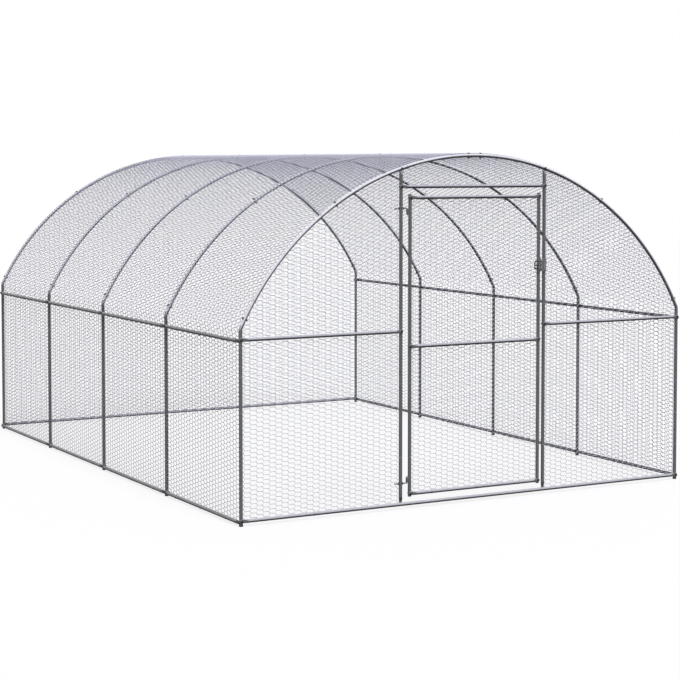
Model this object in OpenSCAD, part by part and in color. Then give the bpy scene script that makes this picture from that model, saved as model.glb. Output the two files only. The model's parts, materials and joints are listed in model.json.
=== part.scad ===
/* [Run] */
// Width between the centres of the side posts
run_w = 2950; // [2000:10:3600]
// Length between the centres of the first and the last arch
run_l = 3980; // [2400:10:5000]
// Number of bays, one more arch than bays
bays = 4; // [2:1:4]
// Height at which a post leans over into its arch
bend_h = 1060; // [900:5:1300]
// Height of an arch's centre line at the top
apex_h = 1980; // [1750:5:2300]

/* [Tubes] */
// Outside diameter of every tube
tube_od = 20; // [18:0.5:24]
// Wall of every tube
tube_wall = 1; // [0.8:0.1:1.4]
// Bend radius at the top of a post
bend_r = 60; // [45:5:120]
// Length of the reduced end that slips into the next tube
spigot_l = 80; // [65:5:120]
// Slip between a reduced end and the tube around it, each side
spigot_slip = 0.3; // [0.2:0.05:0.5]
// Length of the full-size shoulder behind a reduced end
shoulder_l = 3; // [2:0.5:6]
// Length of the sleeve inside the top of each arch
apex_sleeve_l = 140; // [110:5:200]
// Gap left where two tubes of an arch butt together
joint_gap = 0.4; // [0.2:0.1:2]
// Place of an arch's side seam, as a share of its half arc from the top
seam_share = 0.5; // [0.4:0.05:0.6]

/* [Feet] */
// Outside diameter of a foot cap
cap_od = 22.5; // [22:0.5:30]
// Height of a foot cap
cap_h = 12; // [8:1:18]
// Thickness of a foot cap's floor
cap_floor = 3; // [2:0.5:5]

/* [Rails] */
// Height of the base rails along the sides
base_z = 23; // [18:1:60]
// Drop of the eave rails along the sides below the bends
eave_drop = 66; // [40:2:200]
// Rise of the front and rear rails over the side rails, so that crossing bolts miss
rail_step = 6; // [6:0.5:12]
// Length of a pressed flat end beyond its bolt, towards the tube
tab_l = 15; // [13:1:25]
// Air between two flat ends that share a bolt
tab_gap = 0.05; // [0.05:0.05:0.2]
// Length over which a round tube is pressed flat
taper_l = 30; // [20:1:50]

/* [Bolts] */
// Bolt diameter
bolt_d = 5; // [4:0.5:5]
// Play of a bolt in its hole, each side
bolt_play = 0.25; // [0.15:0.05:0.4]
// Size of a bolt head across its flats
head_af = 12; // [8:0.5:13]
// Height of a bolt head
head_t = 5.5; // [2.5:0.5:6]
// Height of a nut
nut_t = 4; // [3:0.5:5]
// Air left under a bolt's head and its nut
bolt_seat = 0.1; // [0.05:0.05:0.2]
// Thread showing past a nut
bolt_tail = 7; // [1:0.5:8]
// Play of the thread in a nut, each side
thread_play = 0.05; // [0.03:0.01:0.1]
// Distance of a seam bolt from the end of the tube that it holds
seam_bolt = 40; // [25:1:50]

/* [Doorway] */
// Distance of each door post from the middle
door_post_x = 485; // [440:5:560]
// Drop of the tube over the door below the top of the front arch
header_drop = 174; // [150:2:260]

/* [Door] */
// Gap between the left door post and the door
hinge_gap = 39; // [34:1:46]
// Gap between the right door post and the door
latch_gap = 18; // [14:1:26]
// Height of the door's lower end
door_bottom_z = 66; // [56:1:90]
// Gap between the door's upper end and the centre of the tube over it
door_head_gap = 43; // [30:1:80]
// Length of a stile past the rail at each end
stile_end = 18; // [16:1:30]
// Height of the door's middle rail
mid_rail_z = 913; // [700:1:1100]
// Thickness of the plug's rim on a stile's end
plug_t = 2; // [1.5:0.5:4]
// Length of the plug inside a stile's end
plug_l = 5; // [3:1:6]

/* [Hinges] */
// Diameter of the hook bolts
pintle_d = 8; // [7:0.5:9]
// Running clearance of a hook in its sleeve, each side
pintle_play = 0.05; // [0.02:0.01:0.1]
// Outside diameter of a hinge sleeve
sleeve_od = 14; // [13:0.5:16]
// Length of a hinge sleeve
sleeve_l = 28; // [20:1:40]
// Height of a hook bolt's centre above the door's lower end, and below its upper end
hinge_inset = 78; // [70:1:160]
// Gap between a sleeve and the shoulder that it sits on
seat_gap = 0.3; // [0.2:0.1:0.6]
// Length of a hook past its sleeve
pin_tip = 6; // [3:1:12]
// Length of a hook bolt outside the post
pintle_tail = 30; // [22:1:40]
// Size of a hook bolt's nuts across the flats
pintle_af = 13; // [12:0.5:16]
// Height of a hook bolt's nuts
pintle_nut_t = 6; // [5:0.5:8]

/* [Latch] */
// Height of the latch's middle
latch_z = 1344; // [1100:2:1500]
// Height of the latch plates
latch_h = 76; // [70:1:90]
// Thickness of the latch plates
latch_t = 2; // [1.5:0.5:2]
// Diameter of the sliding fork's rod
fork_d = 7; // [6:0.5:7]
// Distance between neighbouring prongs of the fork
fork_pitch = 22; // [20:1:24]
// Travel of the fork
fork_travel = 22; // [16:1:24]
// Running clearance of the fork in its guides, each side
fork_play = 0.1; // [0.05:0.05:0.2]
// Gap between the latch plate and the keeper
keeper_gap = 3.4; // [2:0.2:5]
// Distance between the keeper's guides
keeper_pitch = 11; // [8:1:14]
// Width of a guide along the fork
guide_w = 5; // [4:0.5:6]
// Height of a guide
guide_h = 12; // [11:0.5:14]
// Metal in front of the fork in a guide
guide_wall = 1.4; // [1:0.1:1.5]
// Diameter of the latch screws
screw_d = 4; // [3:0.5:4.5]
// Reach of a latch screw behind its plate
screw_l = 8; // [6:1:12]
// Height of a latch screw's head
screw_head_t = 2; // [1.5:0.5:2.5]
// Diameter of a latch screw's head
screw_head_d = 7; // [6:0.5:8]

/* [Nets] */
// Thickness of the netting
net_t = 1; // [0.8:0.1:1.5]
// Width of a strand of netting
strand_w = 6; // [4:0.5:10]
// Length of one mesh along the netting, tip to tip of the next row
mesh_l = 325; // [240:5:480]
// Height of one mesh across the netting
mesh_h = 208; // [150:2:300]
// Share of a mesh's length that its twisted side takes
twist_share = 0.55; // [0.4:0.05:0.7]
// Width of the folded edge of a net along the tubes
edge_w = 16; // [14:1:24]
// Clearance between netting and the tubes that hold it
net_gap = 0.3; // [0.2:0.1:0.8]
// Number of widths of netting over the roof
roof_widths = 9; // [7:1:11]

/* [Hidden] */
$fn = 64;
tube_fn = 48;
arc_fn = 720;
over = 1;
tube_r = tube_od / 2;
bore_r = tube_r - tube_wall;
spigot_r = bore_r - spigot_slip;
spigot_bore_r = spigot_r - tube_wall;
half_w = run_w / 2;
front_y = -run_l / 2;
bay_l = run_l / bays;
tab_t = 2 * tube_wall;
tab_pitch = tab_t + tab_gap;
hole_r = bolt_d / 2 + bolt_play;

// Arch circle through both bends and the top, and the bend that blends a post into it
rise = apex_h - bend_h;
arch_r = (half_w * half_w + rise * rise) / (2 * rise);
arch_z = apex_h - arch_r;
bend_x = half_w - bend_r;
bend_z = arch_z + sqrt(pow(arch_r - bend_r, 2) - pow(bend_x, 2));
arch_a0 = acos(bend_x / (arch_r - bend_r));
eave_a = acos(half_w / arch_r);
shoulder_a = shoulder_l / bend_r * 180 / PI;
seam_a = 90 - (90 - arch_a0) * seam_share;
post_tip_a = arch_a0 + along(spigot_l);
shoulder_end_a = arch_a0 - along(shoulder_l + over);
post_bolt_a = arch_a0 + along(seam_bolt);
seam_bolt_a = seam_a - along(seam_bolt);
apex_bolt_a = 90 - along(seam_bolt);
door_bolt_a = acos(door_post_x / arch_r);
door_arch_z = arch_z + arch_r * sin(door_bolt_a);

// Places of the rails, the door and its fittings
eave_z = bend_h - eave_drop;
header_z = apex_h - header_drop;
door_top_z = header_z - door_head_gap;
front_base_z = base_z + rail_step;
front_eave_z = eave_z + rail_step;
rail_out = tube_r + tab_t / 2;
front_rail_y = front_y - rail_out;
hinge_stile_x = -door_post_x + hinge_gap + tube_od;
latch_stile_x = door_post_x - latch_gap - tube_od;
low_rail_z = door_bottom_z + stile_end;
top_rail_z = door_top_z - stile_end;
door_rail_zs = [low_rail_z, mid_rail_z, top_rail_z];
hinge_x = hinge_stile_x - tube_r - sleeve_od / 2;
low_hinge_z = door_bottom_z + hinge_inset;
top_hinge_z = door_top_z - hinge_inset;
sleeve_drop = pintle_d / 2 + seat_gap;
pin_l = sleeve_drop + sleeve_l + pin_tip;
plate_y = front_y - tube_r - latch_t;
fork_y = plate_y - fork_play - fork_d / 2;
guide_y = fork_y - fork_d / 2 - fork_play - guide_wall;
plate_w = tube_od + 2 * over;
plate_x = latch_stile_x - plate_w / 2;
fork_tip_x = plate_x + plate_w;
guide_x1 = plate_x + fork_d / 2 + over;
guide_x2 = fork_tip_x - guide_w;
prong_zs = [-fork_pitch, 0, fork_pitch];
fork_bend = fork_d;
fork_bar_x = guide_x1 - fork_travel - fork_bend - over / 2;
keeper_x = fork_tip_x + keeper_gap;
keeper_w = door_post_x + tube_r - keeper_x;
screw_dz = latch_h / 2 - screw_head_d / 2 - over;
post_inner_x = half_w - tube_r - net_gap;
arch_inner_r = arch_r - tube_r - net_gap;
roof_r = arch_r + tube_r + net_gap + net_t / 2;
door_net_x = door_post_x + tube_r + net_gap;
top_net_x = door_post_x - tube_r - net_gap;
nut_room = bolt_seat + nut_t + bolt_tail + net_gap;
head_room_r = hex_r(head_af) + net_gap;
room_w = 2 * head_room_r;
washer_r = hex_r(head_af) + over;

steel_dark = [0.42, 0.42, 0.41];
steel_pale = [0.72, 0.72, 0.76];
zinc = [0.62, 0.63, 0.66];
wire = [0.80, 0.80, 0.83];
cap_grey = [0.20, 0.20, 0.20];

sides = ["left", "right"];
arch_count = bays + 1;

// Angle on the arch circle that spans a length of tube
function along(len) = len / arch_r * 180 / PI;

// Corner radius of a six-sided bar from its size across the flats
function hex_r(af) = af / 2 / cos(30);

// Sign of a side: the left lies towards -X
function sign_of(s) = s == "left" ? -1 : 1;

function arch_y(i) = front_y + (i - 1) * bay_l;

// Rails of even bays lie over those of odd bays where both share a bolt
function over_rail(bay) = bay % 2 == 0 ? 1 : 0;
function tabs_at(i) = (i > 1 && over_rail(i - 1) == 1) || (i < arch_count && over_rail(i) == 1) ? 2 : 1;
function needs_spacer(i) = i == arch_count && over_rail(bays) == 1;

module on_side(s) {
    if (s == "left") mirror([1, 0, 0]) children();
    else children();
}

// Round bar or hole along X, Y or Z
module rod_x(r, len) rotate([0, 90, 0]) cylinder(r = r, h = len);
module rod_y(r, len) rotate([-90, 0, 0]) cylinder(r = r, h = len);
module cross_x(r, len) rotate([0, 90, 0]) cylinder(r = r, h = len, center = true);
module cross_y(r, len) rotate([90, 0, 0]) cylinder(r = r, h = len, center = true);

// Round bar bent to a circle in the XZ plane, between two angles
module bent_rod(path_r, from_a, to_a, r) {
    rotate([90, 0, 0])
        rotate([0, 0, from_a])
            rotate_extrude(angle = to_a - from_a, $fn = arc_fn)
                translate([path_r, 0])
                    circle(r = r, $fn = tube_fn);
}

// Moves a child to the arch's centre line at an angle, its +Z pointing out of the arch
module on_arch(a) translate([0, 0, arch_z]) rotate([0, 90 - a, 0]) translate([0, 0, arch_r]) children();

module arch_hole(a) on_arch(a) cylinder(r = hole_r, h = tube_od + 2 * over, center = true);

// Bolt with its seat at the origin, head up, and its nut below the grip
module bolt(grip) {
    translate([0, 0, bolt_seat]) cylinder(r = hex_r(head_af), h = head_t, $fn = 6);
    translate([0, 0, -grip - nut_t - bolt_tail])
        cylinder(d = bolt_d, h = grip + nut_t + bolt_tail + bolt_seat + over);
}

module nut(grip) {
    translate([0, 0, -grip - nut_t - bolt_seat])
        difference() {
            cylinder(r = hex_r(head_af), h = nut_t, $fn = 6);
            translate([0, 0, -over]) cylinder(r = bolt_d / 2 + thread_play, h = nut_t + 2 * over);
        }
}

// Side outline of a rail: round in the middle, pressed flat at both ends
module rail_profile(len, end_tab = tab_l, end_taper = taper_l) {
    flat = tab_t / 2;
    full = tube_r + over;
    polygon([
        [-tube_r, -flat], [tab_l, -flat], [tab_l + taper_l, -full], [len - end_tab - end_taper, -full],
        [len - end_tab, -flat], [len + tube_r, -flat], [len + tube_r, flat], [len - end_tab, flat],
        [len - end_tab - end_taper, full], [tab_l + taper_l, full], [tab_l, flat], [-tube_r, flat]
    ]);
}

// Rail along X between two bolt holes, its flat ends facing Y
module rail(len) {
    bore_x = tab_l + taper_l;
    difference() {
        intersection() {
            translate([-tube_r, 0, 0]) rod_x(tube_r, len + tube_od);
            linear_extrude(height = tube_od + 2 * over, center = true) rail_profile(len);
            rotate([90, 0, 0])
                linear_extrude(height = tube_od + 2 * over, center = true) {
                    translate([0, -tube_r - over]) square([len, tube_od + 2 * over]);
                    circle(r = tube_r);
                    translate([len, 0]) circle(r = tube_r);
                }
        }
        translate([bore_x, 0, 0]) rod_x(bore_r, len - 2 * bore_x);
        for (x = [0, len])
            translate([x, 0, 0]) cross_y(hole_r, tube_od);
    }
}

// Side post: straight leg, short bend inwards and the reduced end that enters the arch
module post(s, i) {
    color(steel_dark)
        translate([0, arch_y(i), 0])
            on_side(s)
                difference() {
                    union() {
                        translate([half_w, 0, cap_floor])
                            cylinder(r = tube_r, h = bend_z - cap_floor, $fn = tube_fn);
                        translate([bend_x, 0, bend_z]) bent_rod(bend_r, 0, arch_a0, tube_r);
                        translate([0, 0, arch_z])
                            bent_rod(arch_r, arch_a0 - along(over), post_tip_a, spigot_r);
                    }
                    translate([half_w, 0, cap_floor - over])
                        cylinder(r = bore_r, h = bend_z - cap_floor + over, $fn = tube_fn);
                    translate([bend_x, 0, bend_z]) bent_rod(bend_r, 0, arch_a0 - shoulder_a, bore_r);
                    translate([0, 0, arch_z])
                        bent_rod(arch_r, shoulder_end_a, post_tip_a + along(over), spigot_bore_r);
                    for (z = [base_z, eave_z])
                        translate([half_w, 0, z]) cross_x(hole_r, tube_od + 2 * over);
                    if (i == 1 || i == arch_count)
                        translate([half_w, 0, front_base_z]) cross_y(hole_r, tube_od + 2 * over);
                    if (i == 1)
                        translate([half_w, 0, front_eave_z]) cross_y(hole_r, tube_od + 2 * over);
                    arch_hole(post_bolt_a);
                }
}

// Half an arch: the lower tube over the post's end, and the upper tube with its own reduced end
module arch_half(s, i) {
    lower_a = arch_a0 + along(joint_gap);
    upper_a = 90 - along(joint_gap / 2);
    color(steel_pale)
        translate([0, arch_y(i), 0])
            on_side(s)
                difference() {
                    translate([0, 0, arch_z]) {
                        difference() {
                            bent_rod(arch_r, lower_a, seam_a - along(joint_gap), tube_r);
                            bent_rod(arch_r, lower_a - along(over), seam_a + along(over), bore_r);
                        }
                        difference() {
                            union() {
                                bent_rod(arch_r, seam_a, upper_a, tube_r);
                                bent_rod(arch_r, seam_a - along(spigot_l), seam_a + along(over), spigot_r);
                            }
                            bent_rod(arch_r, seam_a + along(shoulder_l), 90 + along(over), bore_r);
                            bent_rod(arch_r, seam_a - along(spigot_l + over), 90, spigot_bore_r);
                        }
                    }
                    arch_hole(post_bolt_a);
                    arch_hole(seam_bolt_a);
                    arch_hole(apex_bolt_a);
                    if (i == 1)
                        on_arch(door_bolt_a) cross_y(hole_r, tube_od + 2 * over);
                }
}

module arch(i) for (s = sides) arch_half(s, i);

module foot_caps() {
    color(cap_grey)
        for (s = sides)
            for (i = [1 : arch_count])
                translate([sign_of(s) * half_w, arch_y(i), 0])
                    difference() {
                        cylinder(d = cap_od, h = cap_h);
                        translate([0, 0, cap_floor]) cylinder(r = tube_r + spigot_slip, h = cap_h);
                    }
}

module apex_sleeves() {
    half_a = along(apex_sleeve_l / 2);
    bore_a = half_a + along(over);
    color(zinc)
        for (i = [1 : arch_count])
            translate([0, arch_y(i), 0])
                difference() {
                    translate([0, 0, arch_z]) bent_rod(arch_r, 90 - half_a, 90 + half_a, spigot_r);
                    translate([0, 0, arch_z])
                        bent_rod(arch_r, 90 - bore_a, 90 + bore_a, spigot_bore_r);
                    for (a = [apex_bolt_a, 180 - apex_bolt_a])
                        arch_hole(a);
                }
}

// Places of the bolts through the arches: post joint, side seam and top on each side
module at_arch_bolts() {
    for (i = [1 : arch_count])
        for (a = [post_bolt_a, seam_bolt_a, apex_bolt_a])
            for (b = [a, 180 - a])
                translate([0, arch_y(i), 0]) on_arch(b) translate([0, 0, tube_r]) children();
}

module arch_bolts() color(zinc) at_arch_bolts() bolt(tube_od);

module arch_nuts() color(zinc) at_arch_bolts() nut(tube_od);

// One rail to each bay of a side wall
module side_rails(s, z) {
    color(steel_pale)
        for (bay = [1 : bays])
            translate([sign_of(s) * (half_w + rail_out + over_rail(bay) * tab_pitch), arch_y(bay), z])
                rotate([0, 0, 90])
                    rail(bay_l);
}

module front_rail(x0, x1, z) color(steel_pale) translate([x0, front_rail_y, z]) rail(x1 - x0);

module front_base_rail() {
    difference() {
        front_rail(-half_w, half_w, front_base_z);
        for (x = [-door_post_x, door_post_x])
            translate([x, front_rail_y, front_base_z]) rod_y(hole_r, tube_od);
    }
}

module rear_base_rail() color(steel_pale) translate([-half_w, -front_rail_y, front_base_z]) rail(run_w);

// Places of the bolts through the posts, seat outwards, with the stack that each one clamps
module at_rail_bolts() {
    for (s = sides)
        for (i = [1 : arch_count])
            for (z = [base_z, eave_z])
                translate([sign_of(s) * (half_w + tube_r + tabs_at(i) * tab_pitch), arch_y(i), z])
                    rotate([0, sign_of(s) * 90, 0]) {
                        $grip = tube_od + tabs_at(i) * tab_pitch;
                        children();
                    }
    for (x = [-half_w, half_w]) {
        $grip = tube_od + tab_t;
        for (z = [front_base_z, front_eave_z])
            translate([x, front_y - tube_r - tab_t, z]) rotate([90, 0, 0]) children();
        translate([x, -front_y + tube_r + tab_t, front_base_z]) rotate([-90, 0, 0]) children();
    }
}

module rail_bolts() color(zinc) at_rail_bolts() bolt($grip);

module rail_nuts() color(zinc) at_rail_bolts() nut($grip);

// Washers that take the place of the missing under-rail at the last post
module spacer_washers() {
    color(zinc)
        for (s = sides)
            for (i = [1 : arch_count])
                for (z = [base_z, eave_z])
                    if (needs_spacer(i))
                        translate([sign_of(s) * (half_w + tube_r + tab_t / 2), arch_y(i), z])
                            difference() {
                                cross_x(washer_r, tab_t);
                                cross_x(hole_r, tab_t + 2 * over);
                            }
}

// Side outline of a door post's top: pressed flat, then set back to lie behind the arch
module post_top_profile(z0, z1, back) {
    flat = tab_t / 2;
    polygon([
        [-flat, z0], [-flat, z0 + flat], [back - flat, z0 + back], [back - flat, z1],
        [back + flat, z1], [back + flat, z0 + back - flat], [flat, z0]
    ]);
}

// Door post: round tube, flat foot behind the base rail and set-back flat top behind the arch
module door_post(side) {
    back = tube_r + tab_t / 2;
    neck_z = door_arch_z - tube_od - back;
    len = neck_z + tab_t - front_base_z;
    color(steel_dark)
        translate([side * door_post_x, front_y, front_base_z])
            difference() {
                union() {
                    intersection() {
                        translate([0, 0, -tube_r]) cylinder(r = tube_r, h = len + tube_r);
                        rotate([0, -90, 0])
                            linear_extrude(height = tube_od + 2 * over, center = true)
                                rail_profile(len, tab_t, tube_r);
                    }
                    rotate([90, 0, 90])
                        linear_extrude(height = tube_od - tab_t, center = true)
                            post_top_profile(len - tab_t, door_arch_z + tube_r - front_base_z, back);
                }
                translate([0, 0, tab_l + taper_l])
                    cylinder(r = bore_r, h = len - tab_l - taper_l - tab_t - tube_r);
                cross_y(hole_r, tube_od);
                translate([0, back, door_arch_z - front_base_z]) cross_y(hole_r, tube_od);
                for (z = [front_eave_z, header_z])
                    translate([0, 0, z - front_base_z]) cross_y(hole_r, tube_od + 2 * over);
                if (side < 0)
                    for (z = [low_hinge_z, top_hinge_z])
                        translate([0, 0, z - front_base_z])
                            cross_x(pintle_d / 2 + bolt_play, tube_od + 2 * over);
                if (side > 0)
                    for (z = [-screw_dz, screw_dz])
                        translate([0, -tube_od, latch_z + z - front_base_z])
                            rod_y(screw_d / 2 + thread_play, tube_od);
            }
}

module door_header() front_rail(-door_post_x, door_post_x, header_z);

// Places of the bolts through the door posts and the arch over them
module at_doorway_bolts() {
    for (x = [-door_post_x, door_post_x]) {
        $grip = tube_od + tab_t;
        for (z = [front_eave_z, header_z])
            translate([x, front_y - tube_r - tab_t, z]) rotate([90, 0, 0]) children();
        translate([x, front_y - tube_r, door_arch_z]) rotate([90, 0, 0]) children();
    }
}

// Short screws hold the feet of the door posts to the back of the base rail
module doorway_bolts() {
    color(zinc) {
        at_doorway_bolts() bolt($grip);
        for (x = [-door_post_x, door_post_x])
            translate([x, front_y + tab_t / 2, front_base_z])
                rotate([-90, 0, 0]) {
                    cylinder(r = hex_r(head_af), h = head_t, $fn = 6);
                    translate([0, 0, -tube_r]) cylinder(d = bolt_d, h = tube_r + over);
                }
    }
}

module doorway_nuts() color(zinc) at_doorway_bolts() nut($grip);

// Hook bolts: level shank through the post, the lower pin pointing up and the upper one down
module hinge_hooks() {
    tail_x = -door_post_x - tube_r - pintle_tail;
    color(zinc)
        for (hinge = [[low_hinge_z, 1], [top_hinge_z, -1]])
            translate([hinge_x, front_y, hinge[0]]) {
                translate([tail_x - hinge_x, 0, 0]) rod_x(pintle_d / 2, hinge_x - tail_x);
                sphere(d = pintle_d);
                mirror([0, 0, hinge[1] < 0 ? 1 : 0]) cylinder(d = pintle_d, h = pin_l);
            }
}

module hinge_nuts() {
    color(zinc)
        for (z = [low_hinge_z, top_hinge_z])
            for (x = [-door_post_x - tube_r - pintle_nut_t, -door_post_x + tube_r])
                translate([x, front_y, z])
                    rotate([0, 90, 0])
                        difference() {
                            cylinder(r = hex_r(pintle_af), h = pintle_nut_t, $fn = 6);
                            translate([0, 0, -over])
                                cylinder(r = pintle_d / 2 + thread_play, h = pintle_nut_t + 2 * over);
                        }
}

// Upright of the door, with a bolt hole for each rail
module stile(x) {
    color(steel_dark)
        translate([x, front_y, 0])
            difference() {
                translate([0, 0, door_bottom_z + plug_t])
                    cylinder(r = tube_r, h = door_top_z - door_bottom_z - 2 * plug_t);
                translate([0, 0, door_bottom_z])
                    cylinder(r = bore_r, h = door_top_z - door_bottom_z);
                for (z = door_rail_zs)
                    translate([0, 0, z]) cross_y(hole_r, tube_od + 2 * over);
                if (x > 0)
                    for (z = [-screw_dz, screw_dz])
                        translate([0, -tube_od, latch_z + z]) rod_y(screw_d / 2 + thread_play, tube_od);
            }
}

module stile_plugs() {
    color(cap_grey)
        for (x = [hinge_stile_x, latch_stile_x])
            for (end = [[door_bottom_z, 0], [door_top_z, 1]])
                translate([x, front_y, end[0]])
                    mirror([0, 0, end[1]]) {
                        cylinder(r = tube_r, h = plug_t);
                        cylinder(r = bore_r - spigot_slip, h = plug_t + plug_l);
                    }
}

module door_rail(z) front_rail(hinge_stile_x, latch_stile_x, z);

module at_door_bolts() {
    for (x = [hinge_stile_x, latch_stile_x])
        for (z = door_rail_zs)
            translate([x, front_y - tube_r - tab_t, z]) rotate([90, 0, 0]) children();
}

module door_bolts() color(zinc) at_door_bolts() bolt(tube_od + tab_t);

module door_nuts() color(zinc) at_door_bolts() nut(tube_od + tab_t);

// Sleeves beside the hinge stile, each with a web that follows the stile's round
module hinge_sleeves() {
    web = sleeve_od / 2;
    color(steel_dark)
        for (z = [low_hinge_z + sleeve_drop, top_hinge_z - sleeve_drop - sleeve_l])
            translate([hinge_x, front_y, z])
                difference() {
                    union() {
                        cylinder(d = sleeve_od, h = sleeve_l);
                        translate([0, -web / 2, 0]) cube([sleeve_od / 2 + tube_r, web, sleeve_l]);
                    }
                    translate([0, 0, -over])
                        cylinder(r = pintle_d / 2 + pintle_play, h = sleeve_l + 2 * over);
                    translate([hinge_stile_x - hinge_x, 0, -over])
                        cylinder(r = tube_r + spigot_slip, h = sleeve_l + 2 * over);
                }
}

// Plate with a bored guide for each prong at each of the given places
module guide_plate(x, w, guide_xs) {
    difference() {
        union() {
            translate([x, plate_y, latch_z - latch_h / 2]) cube([w, latch_t, latch_h]);
            for (gx = guide_xs)
                for (z = prong_zs)
                    translate([gx, guide_y, latch_z + z - guide_h / 2])
                        cube([guide_w, plate_y - guide_y + over, guide_h]);
        }
        for (z = prong_zs)
            translate([x - over, fork_y, latch_z + z]) rod_x(fork_d / 2 + fork_play, w + 2 * over);
    }
}

module screw_holes(x) {
    for (z = [-screw_dz, screw_dz])
        translate([x, plate_y - over, latch_z + z]) rod_y(screw_d / 2 + bolt_play, latch_t + 2 * over);
}

module latch_plate() {
    color(zinc)
        difference() {
            guide_plate(plate_x, plate_w, [guide_x1, guide_x2]);
            screw_holes(latch_stile_x);
        }
}

module latch_keeper() {
    color(zinc)
        difference() {
            guide_plate(keeper_x, keeper_w, [keeper_x, keeper_x + keeper_pitch]);
            screw_holes(door_post_x);
        }
}

// Rod bent to a fork: three level prongs and the upright bar that the hand pulls
module latch_fork() {
    prong_l = fork_tip_x - fork_bar_x;
    color(zinc)
        translate([fork_bar_x, fork_y, latch_z]) {
            rod_x(fork_d / 2, prong_l);
            for (half = [0, 1])
                mirror([0, 0, half]) {
                    cylinder(d = fork_d, h = fork_pitch - fork_bend);
                    translate([fork_bend, 0, fork_pitch - fork_bend])
                        rotate([90, 0, 0])
                            rotate([0, 0, 90])
                                rotate_extrude(angle = 90) translate([fork_bend, 0]) circle(d = fork_d);
                    translate([fork_bend, 0, fork_pitch]) rod_x(fork_d / 2, prong_l - fork_bend);
                }
        }
}

module plate_screws(x) {
    color(zinc)
        for (z = [-screw_dz, screw_dz])
            translate([x, plate_y, latch_z + z]) {
                rotate([90, 0, 0]) cylinder(d = screw_head_d, h = screw_head_t);
                translate([0, -over, 0]) rod_y(screw_d / 2, screw_l + over);
            }
}

// Six-sided gap of the netting, its twisted sides lying along X
module mesh_gap() {
    half_h = (mesh_h - strand_w) / 2;
    twist = mesh_l * twist_share / 2;
    tip = mesh_l - twist - strand_w / 2;
    polygon([[-twist, -half_h], [twist, -half_h], [tip, 0], [twist, half_h], [-twist, half_h], [-tip, 0]]);
}

// Gaps over a rectangle from the origin, every other column set half a mesh up
module mesh_gaps(w, h) {
    cols = ceil(w / mesh_l);
    rows = ceil(h / mesh_h);
    x0 = (w - cols * mesh_l) / 2;
    z0 = (h - rows * mesh_h) / 2;
    for (i = [0 : cols])
        for (j = [0 : rows])
            translate([x0 + i * mesh_l, z0 + (j + (i % 2) / 2) * mesh_h]) mesh_gap();
}

// Gaps over a rectangle, clear of its folded sides and of its lower and upper edge
module sheet_gaps(w, h, level_edge) {
    intersection() {
        mesh_gaps(w, h);
        translate([edge_w, level_edge]) square([w - 2 * edge_w, h - 2 * level_edge]);
    }
}

// Netting over a rectangle, with a folded edge all round
module net_sheet(w, h) {
    difference() {
        square([w, h]);
        sheet_gaps(w, h, edge_w);
    }
}

// Room behind the front arch for the tops of the door posts
module door_top_rooms() {
    for (x = [-door_post_x, door_post_x])
        translate([x - tube_r - net_gap, front_y, door_arch_z - tube_od])
            cube([tube_od + 2 * net_gap, tube_r + tab_t + net_gap, 2 * tube_od]);
}

// Room in the netting of one bay for the bolt heads that lie within a reach of an angle
module head_rooms(bay, mid_a, reach_a) {
    for (i = [bay, bay + 1])
        for (a = [post_bolt_a, seam_bolt_a, apex_bolt_a])
            for (b = [a, 180 - a])
                if (abs(b - mid_a) < reach_a)
                    translate([0, arch_y(i), 0])
                        on_arch(b)
                            translate([0, 0, tube_r]) cylinder(r = head_room_r, h = head_t + over);
}

// One width of netting over one bay, bent to the arch and laid on its tubes
module roof_width(bay, k) {
    span_a = (180 - 2 * eave_a) / roof_widths;
    width_a = span_a - along(net_gap);
    mid_a = eave_a + (k + 0.5) * span_a;
    net_w = bay_l - net_gap;
    net_h = roof_r * width_a * PI / 180;
    difference() {
        translate([0, arch_y(bay) + net_gap / 2, arch_z])
            rotate([0, -mid_a, 0])
                difference() {
                    rotate([-90, 0, 0])
                        rotate([0, 0, -width_a / 2])
                            rotate_extrude(angle = width_a, $fn = arc_fn)
                                translate([roof_r - net_t / 2, 0]) square([net_t, net_w]);
                    translate([roof_r - mesh_h, 0, -net_h / 2])
                        rotate([90, 0, 90])
                            linear_extrude(height = 2 * mesh_h) sheet_gaps(net_w, net_h, strand_w);
                }
        head_rooms(bay, mid_a, span_a);
        if (bay == 1)
            door_top_rooms();
    }
}

module roof_net() {
    color(wire)
        for (bay = [1 : bays])
            for (k = [0 : roof_widths - 1])
                roof_width(bay, k);
}

// Side wall netting, one panel per bay, with room for the nuts of the end rails
module side_net(s) {
    net_w = bay_l - tube_od - 2 * net_gap;
    net_h = bend_h - base_z - net_gap;
    low_room = rail_step + room_w / 2;
    color(wire)
        for (bay = [1 : bays])
            translate([sign_of(s) * half_w, arch_y(bay) + tube_r + net_gap, base_z])
                rotate([90, 0, 90])
                    linear_extrude(height = net_t, center = true)
                        difference() {
                            net_sheet(net_w, net_h);
                            if (bay == 1) {
                                translate([-over, -over]) square([nut_room + over, low_room + over]);
                                translate([-over, front_eave_z - base_z - room_w / 2])
                                    square([nut_room + over, room_w]);
                            }
                            if (bay == bays)
                                translate([net_w - nut_room, -over])
                                    square([nut_room + over, low_room + over]);
                        }
}

// Outline of an end wall inside the tubes, drawn in by a folded edge where asked
module end_outline(x0, x1, z0, inset) {
    corner = [bend_x + (bend_r - tube_r - net_gap) - inset, bend_z];
    lean = [arch_inner_r * cos(arch_a0) - inset, arch_z + arch_inner_r * sin(arch_a0)];
    far = half_w + bend_r;
    difference() {
        intersection() {
            translate([x0 + inset, z0 + inset]) square([x1 - x0 - 2 * inset, apex_h - z0]);
            translate([0, arch_z]) circle(r = arch_inner_r - inset, $fn = 256);
        }
        for (m = [0, 1])
            mirror([m, 0]) polygon([corner, lean, [far, lean[1]], [far, corner[1]]]);
    }
}

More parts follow.
